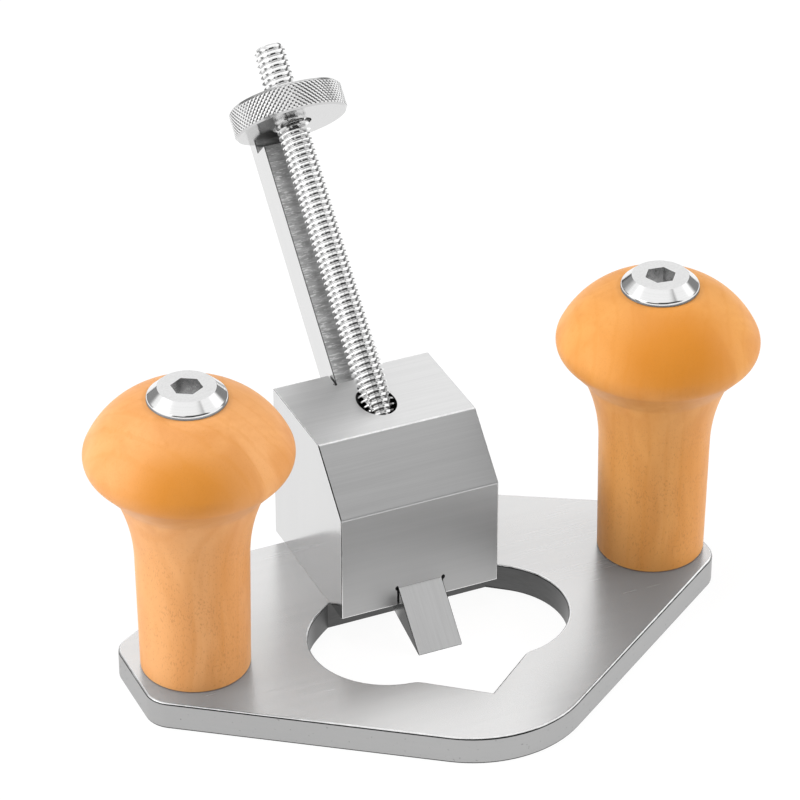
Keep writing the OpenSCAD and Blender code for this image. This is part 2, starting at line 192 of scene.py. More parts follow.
# Studio: pale floor, white surroundings, soft lamps, and soft-edged cards that only mirror rays see
studio = {
    "floorSize": 8,
    "floorGlow": 0.93,
    "floorTone": 0.1,
    "floorBounce": 0.82,  # the floor's tone in the light it throws back
    "skyLevel": 0.34,
    "skySeen": 1.0,  # the surroundings as the camera and steel see them
    "lamps": {
        # where it stands, its width, its power
        "left": ((-2.0, 0.35, 1.0), 1.1, 42),
        "right": ((1.9, -0.6, 0.9), 1.0, 26),
        "top": ((-0.2, 0.3, 1.9), 1.4, 16),
        "front": ((0.3, -1.9, 0.45), 1.0, 4),
    },
    "cards": {
        # azimuth and half width, elevation and half height, all in degrees, and its tone
        "leftBox": (-95, 30, 28, 22, 1.5),
        "rightBox": (100, 26, 36, 12, 1.25),
        "rightLow": (96, 16, 12, 9, 0.06),
        "front": (5, 34, 32, 23, 0.07),
        "rearLeft": (-158, 15, 32, 18, 0.62),
        "rearLow": (157, 13, 2, 8, 0.03),
        "rearLowLeft": (-170, 12, 5, 8, 0.05),
        "rearLowRight": (123, 12, 5, 8, 0.05),
        "rearLeftHigh": (-149, 25, 12, 12, 0.28),
        "rightRear": (114, 28, 12, 12, 0.25),
        "frontLow": (-33, 30, 14, 21, 0.07),
    },
    "cardReach": 3,  # the dome's radius
    "cardSides": 64, "cardRows": 32,
    "cardEdge": 5,  # half the width of a card's soft edge, in degrees
}


def towardsView(graph):
    # 1 for what the camera sees, by itself and in steel or lacquer
    rays = graph.node("ShaderNodeLightPath").socket.node.outputs
    kinds = ("Is Camera Ray", "Is Glossy Ray", "Is Transmission Ray")
    camera, glossy, clear = [Wire(graph, rays[kind]) for kind in kinds]
    return camera.maths("MAXIMUM", camera, glossy.maths("MAXIMUM", glossy, clear))


def makeFloor():
    graph = Graph(bpy.data.materials.new("floor"))
    plain = graph.node("ShaderNodeBsdfDiffuse", None, {"Color": (*grey(studio["floorBounce"]), 1)})
    pale = graph.node("ShaderNodeBsdfDiffuse", None, {"Color": (*grey(studio["floorTone"]), 1)})
    glow = graph.node("ShaderNodeEmission", None, {"Strength": studio["floorGlow"]})
    seen = graph.node("ShaderNodeAddShader", None, {0: pale, 1: glow})
    mix = graph.node("ShaderNodeMixShader", None, {0: towardsView(graph), 1: plain, 2: seen})
    graph.node("ShaderNodeOutputMaterial", None, {"Surface": mix})
    bm = bmesh.new()
    bmesh.ops.create_grid(bm, x_segments=1, y_segments=1, size=studio["floorSize"] / 2)
    makeStage("floor", bm, graph.owner)


def makeStage(name, bm, look):
    mesh = bpy.data.meshes.new(name)
    bm.to_mesh(mesh)
    bm.free()
    mesh.materials.append(look)
    thing = bpy.data.objects.new(name, mesh)
    scene.collection.objects.link(thing)
    return thing


def makeWorld():
    scene.world = bpy.data.worlds.new("studio")
    graph = Graph(scene.world)
    sky = graph.node("ShaderNodeBackground", None, {"Color": (1, 1, 1, 1), "Strength": studio["skyLevel"]})
    white = graph.node("ShaderNodeBackground", None, {"Color": (1, 1, 1, 1), "Strength": studio["skySeen"]})
    mix = graph.node("ShaderNodeMixShader", None, {0: towardsView(graph), 1: sky, 2: white})
    graph.node("ShaderNodeOutputWorld", None, {"Surface": mix})


def makeLamp(name, spot, width, power):
    lamp = bpy.data.lights.new(name, "AREA")
    lamp.size = width
    lamp.energy = power
    holder = bpy.data.objects.new(name, lamp)
    holder.location = spot
    holder.rotation_euler = Vector(spot).to_track_quat("Z", "Y").to_euler()
    holder.visible_camera = False
    holder.visible_glossy = False
    scene.collection.objects.link(holder)


def makeCards():
    # All the cards are painted on one clear dome
    graph = Graph(bpy.data.materials.new("cards"))
    x, y, z = graph.axes(graph.place())
    azimuth = x.maths("ARCTAN2", x, 0 - y) * math.degrees(1)
    elevation = x.maths("ARCTAN2", z, (x * x + y * y) ** 0.5) * math.degrees(1)
    shader = graph.node("ShaderNodeBsdfTransparent")
    edge = studio["cardEdge"]
    for turn, width, rise, height, tone in studio["cards"].values():
        across = azimuth.maths("ABSOLUTE", azimuth.maths("WRAP", azimuth - turn, 180, -180))
        upright = azimuth.maths("ABSOLUTE", elevation - rise)
        covered = 1 - graph.within(across, width - edge, width + edge)
        covered = covered * (1 - graph.within(upright, height - edge, height + edge))
        card = graph.node("ShaderNodeEmission", None, {"Strength": tone})
        shader = graph.node("ShaderNodeMixShader", None, {0: covered, 1: shader, 2: card})
    graph.node("ShaderNodeOutputMaterial", None, {"Surface": shader})
    bm = bmesh.new()
    bmesh.ops.create_uvsphere(bm, u_segments=studio["cardSides"], v_segments=studio["cardRows"],
                              radius=studio["cardReach"])
    dome = makeStage("cards", bm, graph.owner)
    dome.visible_camera = False
    dome.visible_diffuse = False
    dome.visible_transmission = False
    dome.visible_shadow = False


makeFloor()
makeWorld()
for name, facts in studio["lamps"].items():
    makeLamp(name, *facts)
makeCards()
print("studio made")


# Finishes

bedTurn = (math.radians(-45), 0, 0)  # gives Z along the blade's length


def steel(name, tone, roughness, strokes, turn=(0, 0, 0), contrast=0.08, depth=0.002, metallic=1.0,
          paintedShade=(), paintedShadeTone=0.2):
    # Brushed steel. "strokes" is the length of its marks along each axis, "depth" their depth, in mm.
    # Each place of painted shade is a centre, and how far out it is fully and at all darker.
    graph = Graph(bpy.data.materials.new(name))
    fine = graph.noise(graph.place(turn=turn, grain=grains(strokes)), 1, 3, 0.65)
    broad = graph.noise(graph.place(turn=turn, grain=grains(strokes, 6)), 1, 2, 0.5)
    cloud = graph.noise(graph.place(), 35, 3, 0.55)
    streak = graph.within(fine * 0.6 + broad * 0.4, 0.3, 0.7)
    dark = grey(tone * (1 - contrast))
    light = grey(min(1, tone * (1 + contrast)))
    colour = graph.mixed(streak * 0.7 + cloud * 0.3, dark, light)
    # Painted shade round each of these places
    for centre, inner, outer in paintedShade:
        x, y, z = graph.axes(graph.place(centre))
        away = (x * x + y * y + z * z) ** 0.5
        colour = graph.mixed(1 - graph.within(away, inner, outer), colour, grey(paintedShadeTone))
    return graph.surface({
        "Base Color": colour,
        "Metallic": metallic,
        "Roughness": roughness * (0.9 + 0.1 * streak + 0.1 * cloud),
        "Normal": graph.bump(fine, depth * mm),
    })


def sawn(name, tone, roughness, contrast=0.05, depth=0.012):
    # Matt steel with a few small dark pits, as on a cut edge
    graph = Graph(bpy.data.materials.new(name))
    speckle = graph.noise(graph.place(), 1100, 3, 0.7)
    streak = graph.noise(graph.place(grain=grains((6, 6, 0.6))), 1, 3, 0.6)
    pits = graph.within(graph.noise(graph.place(), 1300, 1, 0.5), 0.70, 0.78)
    cloud = graph.noise(graph.place(), 90, 2, 0.5)
    light = grey(tone * (1 + contrast))
    colour = graph.mixed(streak * 0.5 + cloud * 0.5, grey(tone * (1 - contrast)), light)
    return graph.surface({
        "Base Color": graph.mixed(pits * 0.7, colour, grey(tone * 0.5)),
        "Metallic": 1.0,
        "Roughness": roughness + 0.1 * cloud,
        "Normal": graph.bump(speckle * 0.6 + streak * 0.4, depth * mm),
    })


def polishedWithPaintedLight(name, tone, line=0, shadeLineTone=0):
    # The worn, shiny line along a steel edge. Its tone is a painted highlight where it is pale and a painted
    # shade where it is dark. Below the height "line" it is dark, a painted shade line.
    graph = Graph(bpy.data.materials.new(name))
    wear = graph.noise(graph.place(), 400, 3, 0.6)
    colour = graph.mixed(graph.within(wear, 0.35, 0.7), grey(tone * 0.85), grey(tone))
    if line:
        # Painted shade line below the height "line"
        height = graph.axes(graph.place())[2] + (wear - 0.5) * 0.0002
        upper = graph.within(height, line - 0.04 * mm, line + 0.04 * mm)
        colour = graph.mixed(upper, grey(shadeLineTone), colour)
    return graph.surface({
        "Base Color": colour,
        "Metallic": 1.0,
        "Roughness": 0.16 + 0.1 * wear,
        "Normal": graph.bump(wear, 0.003 * mm),
    })


def turned(name, centre, tone, roughness, rings, turn=(0, 0, 0), contrast=0.06, depth=0.002):
    # Steel turned on a lathe: fine rings, so many to the mm, round an axis through the centre
    graph = Graph(bpy.data.materials.new(name))
    x, y = graph.axes(graph.place(centre, turn))[:2]
    reach = (x * x + y * y) ** 0.5
    sizes = {"W": reach, "Scale": rings / mm, "Detail": 2}
    marks = graph.node("ShaderNodeTexNoise", {"noise_dimensions": "1D"}, sizes)
    cloud = graph.noise(graph.place(), 60, 2, 0.5)
    ring = graph.within(marks, 0.3, 0.7)
    dark = grey(tone * (1 - contrast))
    light = grey(min(1, tone * (1 + contrast)))
    return graph.surface({
        "Base Color": graph.mixed(ring * 0.8 + cloud * 0.2, dark, light),
        "Metallic": 1.0,
        "Roughness": roughness + 0.06 * (cloud - 0.5),
        "Normal": graph.bump(marks, depth * mm),
    })


def plainMetal(name, colour, roughness, grain=900, contrast=0.1):
    # Slightly worn metal without a direction, so many grains to the metre
    graph = Graph(bpy.data.materials.new(name))
    cloud = graph.noise(graph.place(), grain, 3, 0.6)
    worn = graph.within(cloud, 0.3, 0.7)
    dark = tuple(c * (1 - contrast) for c in colour)
    light = tuple(min(1, c * (1 + contrast)) for c in colour)
    return graph.surface({
        "Base Color": graph.mixed(worn, dark, light),
        "Metallic": 1.0,
        "Roughness": roughness + 0.08 * (cloud - 0.5),
        "Normal": graph.bump(cloud, 0.004 * mm),
    })


# Shapes

# Points closer than this are one, and faces within this angle, in degrees, are one flat face
merge = {"cad": 0.001 * mm, "spun": 0.0005 * mm, "thread": 0.004 * mm, "flat": 0.3}
squareOn = 0.9  # least share of a normal along an axis for a face that looks along it
outward = 20  # least angle of an edge that stands out, in degrees


def fromNode(node):
    # A merged copy of a CAD node, its flat faces joined up
    bm = bmesh.new()
    bm.from_mesh(frame["nodes"][node].data)
    bmesh.ops.remove_doubles(bm, verts=bm.verts, dist=merge["cad"])
    bmesh.ops.dissolve_limit(bm, angle_limit=math.radians(merge["flat"]), verts=bm.verts, edges=bm.edges)
    return bm


def chain(bm, points):
    # Points in the XZ plane, as radius and height, and the edges that join them
    verts = [bm.verts.new((r, 0, z)) for r, z in points]
    edges = [bm.edges.new(pair) for pair in zip(verts, verts[1:])]
    return verts, edges


def everything(bm):
    return bm.verts[:] + bm.edges[:] + bm.faces[:]


def spun(points, steps, centre=(0, 0, 0), closed=True):
    # A solid of revolution about Z, from (radius, height) points
    bm = bmesh.new()
    verts, edges = chain(bm, points)
    if closed:
        edges.append(bm.edges.new((verts[-1], verts[0])))
    outline = verts + edges
    bmesh.ops.spin(bm, geom=outline, cent=(0, 0, 0), axis=up, angle=math.tau, steps=steps, use_merge=True)
    bmesh.ops.remove_doubles(bm, verts=bm.verts, dist=merge["spun"])
    bmesh.ops.recalc_face_normals(bm, faces=bm.faces)
    bmesh.ops.translate(bm, verts=bm.verts, vec=centre)
    return bm


def arc(x, y, radius, fromAngle, toAngle, steps):
    # Points along part of a circle, between two angles in degrees
    turns = [math.radians(fromAngle + (toAngle - fromAngle) * i / steps) for i in range(steps + 1)]
    return [(x + radius * math.cos(turn), y + radius * math.sin(turn)) for turn in turns]


def soften(bm, edges, width, segments, look):
    # Rounds some edges and gives the roundings their own look
    made = bmesh.ops.bevel(bm, geom=edges, offset=width, offset_type="OFFSET", affect="EDGES",
                           segments=segments, profile=0.5, material=-1, clamp_overlap=False)
    for face in made["faces"]:
        face.material_index = look
    return made["faces"]


def outwardEdges(bm, looks):
    # The edges that stand out between two faces with these looks
    least = math.radians(outward)
    edges = [edge for edge in bm.edges if len(edge.link_faces) == 2 and edge.calc_face_angle_signed() > least]
    return [edge for edge in edges if all(face.material_index in looks for face in edge.link_faces)]


def finish(name, bm, looks, node, sharp):
    # Makes the piece and puts it in the place of its node. Edges above the angle "sharp" stay sharp.
    for face in bm.faces:
        face.smooth = True
    mesh = bpy.data.meshes.new(name)
    bm.to_mesh(mesh)
    bm.free()
    for look in looks:
        mesh.materials.append(look)
    piece = bpy.data.objects.new(name, mesh)
    scene.collection.objects.link(piece)
    mesh.set_sharp_from_angle(angle=math.radians(sharp))
    weigh = piece.modifiers.new("normals", "WEIGHTED_NORMAL")
    weigh.keep_sharp = True
    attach(piece, frame["nodes"][node]["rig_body"])
    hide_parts(node)


# Sole plate
plate = {
    "edge": 0.5 * mm,
    "edgeSteps": 4,
    # The rounded top edges' pale tone is a painted highlight
    "edgeTone": 0.95,
    "line": 6.87 * mm,  # height of the painted shade line under the top edge
    "shadeLineTone": 0.04,
    "topTone": 0.78,
    "topMetal": 0.8,
    "wallTone": 0.46,
    # The throat's walls are near black: painted shade
    "throatShadeTone": 0.1,
    "under": ["blade_block", "left_handle_bolt", "right_handle_bolt"],  # edges under these stay sharp
    "throatHalf": 33 * mm,  # reach of the throat to either side
    "throatRear": -11 * mm,
    "throatFront": -61 * mm,
    "steep": 0.5,  # a wall's normal has less than this share along Z
    "sharp": 30,  # edges above this angle stay sharp, in degrees
    "wallLook": 1, "throatLook": 2, "edgeLook": 3,  # places in the list of looks, the top being 0
}


def makePlate():
    bm = fromNode("sole_plate")
    for face in bm.faces:
        spot = face.calc_center_median()
        inside = abs(spot.x) < plate["throatHalf"] and plate["throatFront"] < spot.y < plate["throatRear"]
        if abs(face.normal.z) < plate["steep"]:
            face.material_index = plate["throatLook"] if inside else plate["wallLook"]
    covers = [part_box(node) for node in plate["under"]]

    def uncovered(edge):
        middle = (edge.verts[0].co + edge.verts[1].co) / 2
        return not any(all(low[i] <= middle[i] <= high[i] for i in (0, 1)) for low, high in covers)

    def besideFlat(edge):
        return sorted(abs(face.normal.z) > squareOn for face in edge.link_faces) == [False, True]

    rims = [edge for edge in bm.edges if edge.is_manifold and uncovered(edge) and besideFlat(edge)]
    soften(bm, rims, plate["edge"], plate["edgeSteps"], plate["edgeLook"])
    looks = [
        steel("plateTop", plate["topTone"], 0.26, (22, 0.4, 0.4), contrast=0.03, depth=0.0006,
              metallic=plate["topMetal"]),
        sawn("plateWall", plate["wallTone"], 0.4),
        steel("plateThroatShade", plate["throatShadeTone"], 0.35, (3, 3, 0.45), contrast=0.15),
        polishedWithPaintedLight("plateEdge", plate["edgeTone"], plate["line"], plate["shadeLineTone"]),
    ]
    finish("plate", bm, looks, "sole_plate", plate["sharp"])


makePlate()
print("plate made")


# Blade block
block = {
    "edge": 0.3 * mm,
    "edgeSteps": 3,
    # The front's tone, darker than the top's, is painted shade; so is the bores' near black
    "topTone": 0.80, "chamferTone": 0.68, "frontShadeTone": 0.46, "sideTone": 0.68, "boreShadeTone": 0.06,
    # The rounded edges' pale tone is a painted highlight, and the left front ones' dark tone a painted shade
    "edgeTone": 0.95, "shadedTone": 0.1,
    "strokes": (26, 0.36, 0.36), "sideStrokes": (0.5, 0.5, 14),
    "skin": 0.5 * mm,  # faces further inside than this are bores
    "slanted": 0.6,  # least share of the chamfer's normal along -Y and along Z
    "sideways": 0.3,  # and of the left front edges' along -X and along -Y
    "crease": (0.72, 0.1),  # and of the edge's under the chamfer, along -Y and along Z
    "sharp": 32,
    # Places in the list of looks, the top being 0
    "chamferLook": 1, "frontLook": 2, "sideLook": 3, "boreLook": 4, "edgeLook": 5, "shadedLook": 6,
}


def makeBlock():
    bm = fromNode("blade_block")
    low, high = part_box("blade_block")
    middle = low[2] + (high[2] - low[2]) / 2
    slanted, sideways, crease = block["slanted"], block["sideways"], block["crease"]
    for face in bm.faces:
        spot = face.calc_center_median()
        normal = face.normal
        room = min(min(spot[i] - low[i], high[i] - spot[i]) for i in range(3))
        if abs(normal.x) > squareOn and room < block["skin"]:
            face.material_index = block["sideLook"]
        elif abs(normal.y) > squareOn and room < block["skin"]:
            face.material_index = block["frontLook"]
        elif normal.y < -slanted and normal.z > slanted and spot.z > middle:
            face.material_index = block["chamferLook"]
        elif room > block["skin"]:
            face.material_index = block["boreLook"]
    edges = outwardEdges(bm, (0, block["chamferLook"], block["frontLook"], block["sideLook"]))
    for face in soften(bm, edges, block["edge"], block["edgeSteps"], block["edgeLook"]):
        normal = face.normal
        # Rounded edges facing left and front are dark: a painted shade line
        if normal.x < -sideways and normal.y < -sideways:
            face.material_index = block["shadedLook"]
        elif abs(normal.x) < sideways and normal.y < -crease[0] and normal.z > crease[1]:
            face.material_index = block["chamferLook"]  # the edge under the chamfer hardly shows
    looks = [
        steel("blockTop", block["topTone"], 0.36, block["strokes"], contrast=0.05, depth=0.002),
        steel("blockChamfer", block["chamferTone"], 0.42, block["strokes"], contrast=0.06, depth=0.003),
        steel("blockFrontShade", block["frontShadeTone"], 0.42, block["strokes"], contrast=0.04, depth=0.002),
        steel("blockSide", block["sideTone"], 0.16, block["sideStrokes"], contrast=0.02, depth=0.0006),
        plainMetal("blockBoreShade", grey(block["boreShadeTone"]), 0.45),
        polishedWithPaintedLight("blockEdge", block["edgeTone"]),
        polishedWithPaintedLight("blockShadedEdge", block["shadedTone"]),
    ]
    finish("block", bm, looks, "blade_block", block["sharp"])


makeBlock()
print("block made")


# Blade
blade = {
    "edge": 0.18 * mm,
    "edgeSteps": 2,
    # The rounded edges' dark tone is a painted shade line
    "sideTone": 0.74, "faceTone": 0.53, "lowTone": 0.94, "tickTone": 1.0, "edgeTone": 0.12,
    "shade": [((0, -0.030, 0.0), 0.011, 0.016)],  # painted shade, where the side is darker near the throat
    "shadeTone": 0.04,
    "groundTop": 20 * mm, "milledFoot": 24 * mm,  # places along the blade
    "ticksFull": -4.5 * mm, "ticksEnd": 0.5 * mm,  # and across it
    "sharp": 48,
    "sideLook": 1, "edgeLook": 2,  # places in the list of looks, the face being 0
}


def bladeFace():
    # Milled across above the block, with light ticks at the left, and ground lengthwise below it
    graph = Graph(bpy.data.materials.new("bladeFace"))
    across = graph.noise(graph.place(turn=bedTurn, grain=grains((1.6, 1.1, 0.3))), 1, 2, 0.6)
    marks = graph.noise(graph.place(turn=bedTurn, grain=grains((6, 3.3, 0.8))), 1, 2, 0.5)
    length = graph.noise(graph.place(turn=bedTurn, grain=grains((0.45, 1.1, 16))), 1, 3, 0.6)
    x, y, z = graph.axes(graph.place(turn=bedTurn))
    above = graph.within(z, blade["groundTop"], blade["milledFoot"])
    milled = graph.within(marks, 0.35, 0.65)
    ticks = graph.within(across, 0.52, 0.64) * (1 - graph.within(x, blade["ticksFull"], blade["ticksEnd"]))
    ground = graph.within(length, 0.3, 0.7)
    face = blade["faceTone"]
    upper = graph.mixed(milled, grey(face * 0.85), grey(face * 1.15))
    upper = graph.mixed(ticks * 0.8, upper, grey(blade["tickTone"]))
    lower = graph.mixed(ground, grey(blade["lowTone"] * 0.94), grey(blade["lowTone"]))
    height = across * above + length * (1 - above) * 0.25
    return graph.surface({
        "Base Color": graph.mixed(above, lower, upper),
        "Metallic": 1.0,
        "Roughness": 0.44 - 0.04 * above,
        "Normal": graph.bump(height, 0.008 * mm),
    })


def makeBlade():
    bm = fromNode("blade")
    for face in bm.faces:
        if abs(face.normal.x) > squareOn:
            face.material_index = blade["sideLook"]
    looks = [
        bladeFace(),
        steel("bladeSide", blade["sideTone"], 0.22, (0.55, 0.55, 16), bedTurn, contrast=0.03,
              paintedShade=blade["shade"], paintedShadeTone=blade["shadeTone"]),
        polishedWithPaintedLight("bladeEdge", blade["edgeTone"]),
    ]
    edges = outwardEdges(bm, (0, blade["sideLook"]))
    soften(bm, edges, blade["edge"], blade["edgeSteps"], blade["edgeLook"])
    finish("blade_bar", bm, looks, "blade", blade["sharp"])


makeBlade()
print("blade made")


# The depth screw's axis, from the frame
wheelJoint = [joint for joint in frame["joints"] if joint["name"] == "wheel_turn"][0]
screwAxis = Vector(wheelJoint["axis"]).normalized()
wheelSpot = Vector(wheelJoint["pos_m"])
screwFrame = Matrix.Translation(wheelSpot) @ up.rotation_difference(screwAxis).to_matrix().to_4x4()


def span(node):
    # How far a node reaches along the screw, from the wheel's middle
    places = [(corner.co - wheelSpot).dot(screwAxis) for corner in frame["nodes"][node].data.vertices]
    return min(places), max(places)


def girth(node):
    # How far it reaches out from the screw's axis
    spots = [corner.co - wheelSpot for corner in frame["nodes"][node].data.vertices]
    return max((spot - screwAxis * spot.dot(screwAxis)).length for spot in spots)


# Threaded rod
rod = {
    "pitch": 1.4111 * mm, "depth": 0.87 * mm,
    "crest": 0.24, "root": 0.12,  # widths of the flats, as shares of the pitch
    "sides": 40, "bevel": 0.8 * mm,
    "spareTurns": 2,  # turns beyond either end, which are cut off
    # The roots' darker tone is painted shade
    "crestTone": 1.0, "rootShadeTone": 0.66,
    "crestFrom": 0.75,  # the thread has the crest's tone from this share of its depth
    "sharp": 22,
}


def rodSteel(inner, outer):
    # Bright on the crests, and dark in the roots, a painted shade
    graph = Graph(bpy.data.materials.new("rodSteel"))
    x, y = graph.axes(graph.place(wheelSpot, bedTurn))[:2]
    worn = graph.noise(graph.place(), 700, 3, 0.6)
    height = graph.within((x * x + y * y) ** 0.5, inner, inner + (outer - inner) * rod["crestFrom"])
    colour = graph.mixed(height, grey(rod["rootShadeTone"]), grey(rod["crestTone"]))
    return graph.surface({
        "Base Color": colour,
        "Metallic": 1.0,
        "Roughness": 0.05 + 0.05 * worn,
        "Normal": graph.bump(worn, 0.001 * mm),
    })


def makeRod():
    low, high = span("depth_screw_rod")
    radius = girth("depth_screw_rod")
    pitch = rod["pitch"]
    inner = radius - rod["depth"]
    crest = rod["crest"] * pitch / 2
    root = rod["root"] * pitch / 2
    start = low - rod["spareTurns"] * pitch
    turns = math.ceil((high - low) / pitch) + 2 * rod["spareTurns"]
    bm = bmesh.new()
    outline = [(inner, 0), (inner, root), (radius, pitch / 2 - crest), (radius, pitch / 2 + crest),
               (inner, pitch - root), (inner, pitch)]
    verts, edges = chain(bm, [(r, start + z) for r, z in outline])
    bmesh.ops.spin(bm, geom=verts + edges, cent=(0, 0, 0), axis=up, dvec=(0, 0, pitch / rod["sides"]),
                   angle=math.tau, steps=rod["sides"])
    firstTurn = everything(bm)
    for turn in range(1, turns):
        copy = bmesh.ops.duplicate(bm, geom=firstTurn)["geom"]
        moved = [part for part in copy if isinstance(part, bmesh.types.BMVert)]
        bmesh.ops.translate(bm, verts=moved, vec=(0, 0, pitch * turn))
    bmesh.ops.remove_doubles(bm, verts=bm.verts, dist=merge["thread"])
    for level, side in ((low, -1), (high, 1)):
        cut = bmesh.ops.bisect_plane(bm, geom=everything(bm), plane_co=(0, 0, level),
                                     plane_no=(0, 0, side), clear_outer=True)
        rim = [part for part in cut["geom_cut"] if isinstance(part, bmesh.types.BMEdge)]
        bmesh.ops.edgeloop_fill(bm, edges=rim)
    for vert in bm.verts:  # the bevel at either end
        room = min(vert.co.z - low, high - vert.co.z)
        most = radius - max(0, rod["bevel"] - room)
        reach = vert.co.xy.length
        if reach > most:
            vert.co.xy *= most / reach
    bmesh.ops.recalc_face_normals(bm, faces=bm.faces)
    bmesh.ops.transform(bm, matrix=screwFrame, verts=bm.verts)
    finish("rod", bm, [rodSteel(inner, radius)], "depth_screw_rod", rod["sharp"])


makeRod()
print("rod made")


# Knurled wheel
wheel = {
    "round": 72,  # diamonds round the rim
    "rows": 5,
    "bevel": 0.5 * mm,
    "boreGap": 0.05 * mm,
    "sink": 0.8 * mm,  # the bore's countersink
    "groove": 0.18 * mm,
    "land": 0.25 * mm,  # the width of a diamond's slopes
    "knurlTone": 0.9,
    "pitShadeTone": 0.14,
    "faceTone": 0.6,
    "near": 0.01 * mm,  # points this close to the grooves' depth are on the rim
    "level": 0.2,  # a rim face's normal has less than this share along the axis
    "sharp": 20,
    "knurlLook": 0, "faceLook": 1,  # places in the list of looks
}


def knurlSteel(wallLow, wallHigh):
    # Bright points, with painted shade in the pits where the grooves cross
    graph = Graph(bpy.data.materials.new("knurlSteel"))
    x, y, z = graph.axes(graph.place(wheelSpot, bedTurn))
    around = x.maths("ARCTAN2", y, x) * (wheel["round"] / 2)
    along = (z - wallLow) * (math.pi * wheel["rows"] / (wallHigh - wallLow))
    crossing = x.maths("ABSOLUTE", x.maths("COSINE", around + along) * x.maths("COSINE", around - along))
    worn = graph.noise(graph.place(), 900, 3, 0.6)
    # Painted shade where the grooves cross
    pits = graph.within(crossing + 0.2 * (worn - 0.5), 0.5, 0.8)
    return graph.surface({
        "Base Color": graph.mixed(pits, grey(wheel["knurlTone"]), grey(wheel["pitShadeTone"])),
        "Metallic": 1.0,
        "Roughness": 0.2 + 0.1 * worn,
        "Normal": graph.bump(worn, 0.003 * mm),
    })


def makeWheel():
    low, high = span("depth_wheel")
    radius = girth("depth_wheel")
    bore = girth("depth_screw_rod") + wheel["boreGap"]
    bevel, sink, groove = wheel["bevel"], wheel["sink"], wheel["groove"]
    wallLow, wallHigh = low + bevel, high - bevel
    deep = radius - groove
    wall = [(deep, wallLow + (wallHigh - wallLow) * i / wheel["rows"]) for i in range(wheel["rows"] + 1)]
    outline = [(bore + sink, low), (radius - bevel, low)] + wall
    outline += [(radius - bevel, high), (bore + sink, high), (bore, high - sink), (bore, low + sink)]
    bm = spun(outline, wheel["round"])

    def onRim(vert):
        return abs(vert.co.xy.length - deep) < wheel["near"]

    # Each square of the rim gets a middle point. Without the squares' edges, diamonds are left.
    around = [face for face in bm.faces if all(onRim(vert) for vert in face.verts)]
    lattice = set(edge for face in around for edge in face.edges)
    crossings = set(vert for face in around for vert in face.verts)
    bmesh.ops.poke(bm, faces=around)
    for vert in bm.verts:
        if vert not in crossings and wallLow < vert.co.z < wallHigh and vert.co.xy.length > bore + sink:
            vert.co.xy *= deep / vert.co.xy.length
    inner = [edge for edge in lattice if all(abs(face.normal.z) < wheel["level"] for face in edge.link_faces)]
    bmesh.ops.dissolve_edges(bm, edges=inner, use_verts=False)
    around = [face for face in bm.faces if all(onRim(vert) for vert in face.verts)]
    raised = bmesh.ops.inset_individual(bm, faces=around, thickness=wheel["land"], depth=groove,
                                        use_even_offset=True)
    for face in bm.faces:
        face.material_index = wheel["faceLook"]
    for face in around + raised["faces"]:
        face.material_index = wheel["knurlLook"]
    bmesh.ops.transform(bm, matrix=screwFrame, verts=bm.verts)
    looks = [
        knurlSteel(wallLow, wallHigh),
        turned("wheelFace", wheelSpot, wheel["faceTone"], 0.14, 4, bedTurn, 0.04),
    ]
    finish("knurled_wheel", bm, looks, "depth_wheel", wheel["sharp"])


makeWheel()
print("wheel made")


# Handles. The outline's sizes are in mm, radius and height, from the foot up.
handle = {
    "foot": 12.7, "footRound": 0.4,
    "neck": 13.1, "neckHeight": 29,
    "crease": 17.4, "creaseHeight": 48.2,
    "slope": 48,  # of the line under the head, in degrees
    "dome": 22.785, "domeShift": 2.6,  # the dome's radius, and how far from the axis its middle is
    "edge": 4.5,
    "top": 9.8,
    "hole": 4.27, "seat": 5.3, "seatDepth": 7.3,
    "footSteps": 4, "neckSteps": 14, "edgeSteps": 12, "domeSteps": 30,
    "steps": 160,
    "sharp": 40,
}


def handleOutline(height):
    h = handle
    rise = h["creaseHeight"] - h["neckHeight"]
    run = h["crease"] - h["neck"]
    flare = (rise * rise + run * run) / (2 * run)
    sweep = math.degrees(math.asin(rise / flare))
    points = [(h["hole"], 0)]
    points += arc(h["foot"] - h["footRound"], h["footRound"], h["footRound"], -90, 0, h["footSteps"])
    points += arc(h["neck"] + flare, h["neckHeight"], flare, 180, 180 - sweep, h["neckSteps"])
    # The edge's circle lies inside the dome's and touches the line under the head
    slope = math.radians(h["slope"])
    along = Vector((math.cos(slope), math.sin(slope)))
    inward = Vector((-math.sin(slope), math.cos(slope)))
    drop = math.sqrt(h["dome"] ** 2 - (h["top"] - h["domeShift"]) ** 2)
    dome = Vector((h["domeShift"], height - drop))
    start = Vector((h["crease"], h["creaseHeight"])) + h["edge"] * inward - dome
    half = start.dot(along)
    reach = -half + math.sqrt(half * half - start.dot(start) + (h["dome"] - h["edge"]) ** 2)
    edge = start + dome + reach * along
    meet = math.degrees(math.atan2(*(edge - dome).yx))
    under = math.degrees(math.atan2(*(-inward).yx))
    last = math.degrees(math.atan2(drop, h["top"] - h["domeShift"]))
    points += arc(*edge, h["edge"], under, meet, h["edgeSteps"])
    points += arc(*dome, h["dome"], meet, last, h["domeSteps"])[1:]
    ledge = height - h["seatDepth"]
    points += [(h["seat"], height), (h["seat"], ledge), (h["hole"], ledge)]
    return [(r * mm, z * mm) for r, z in points]


wood = {
    "fibre": (0.7, 0.7, 22), "figure": (11, 11, 38), "fleck": (0.32, 0.32, 0.8),  # grains, in mm
    "mottle": 260, "wear": 90,  # grains to the metre
    "rings": 1500, "ringSway": 0.006,
    "patchSway": 0.008, "patchCore": 0.25, "patchFlat": 2.2,
    "stemTop": 30 * mm, "headFoot": 46 * mm,
    "pale": (0.80, 0.39, 0.145), "tan": (0.70, 0.305, 0.09), "brown": (0.64, 0.235, 0.022),
    "fleckTone": (0.34, 0.12, 0.03),
}


